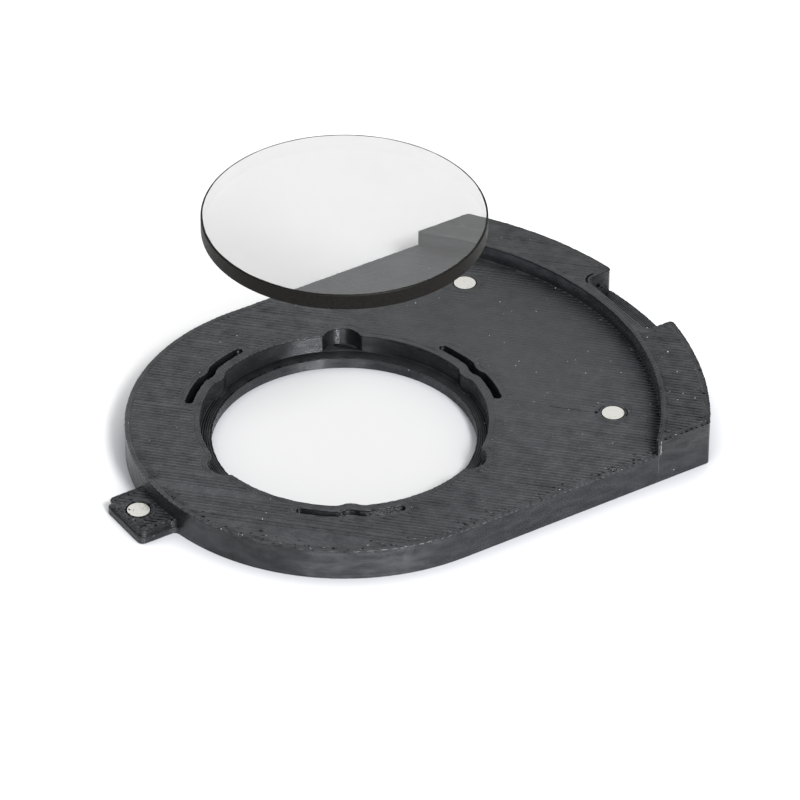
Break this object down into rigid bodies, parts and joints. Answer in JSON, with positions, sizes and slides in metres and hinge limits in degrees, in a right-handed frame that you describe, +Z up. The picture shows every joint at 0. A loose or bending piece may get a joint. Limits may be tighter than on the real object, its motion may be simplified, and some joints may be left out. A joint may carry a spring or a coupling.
{
  "type": "telescope filter holder",
  "caption": "D-shaped slide-in holder plate with a round pocket, spring fingers, raised arc, pull tab and disc magnets, with its loose round optical filter lifted above the pocket.",
  "frame": {"origin": "centre of the round aperture on the plate's flat bottom face", "axes": "+X towards the raised arc with the finger notch, away from the pull tab; +Y across the plate; +Z up, out of the pocket"},
  "size_m": [0.1107, 0.0782, 0.0499],
  "materials": {
    "printed_plastic": "satin, with fine printed lines",
    "nickel_plating": "satin",
    "optical_glass": "polished",
    "edge_blackening": "satin"
  },
  "bodies": {
    "holder": {"holder_body": "printed_plastic", "deck_magnet_left": "nickel_plating", "deck_magnet_right": "nickel_plating", "tab_magnet": "nickel_plating"},
    "filter": {"filter_glass": "optical_glass", "filter_black_edge": "edge_blackening"}
  },
  "joints": [
    {"name": "filter_lift", "type": "slide", "parent": "holder", "child": "filter", "axis": [0, 0, 1], "range_m": [-0.0445, 0]}
  ]
}
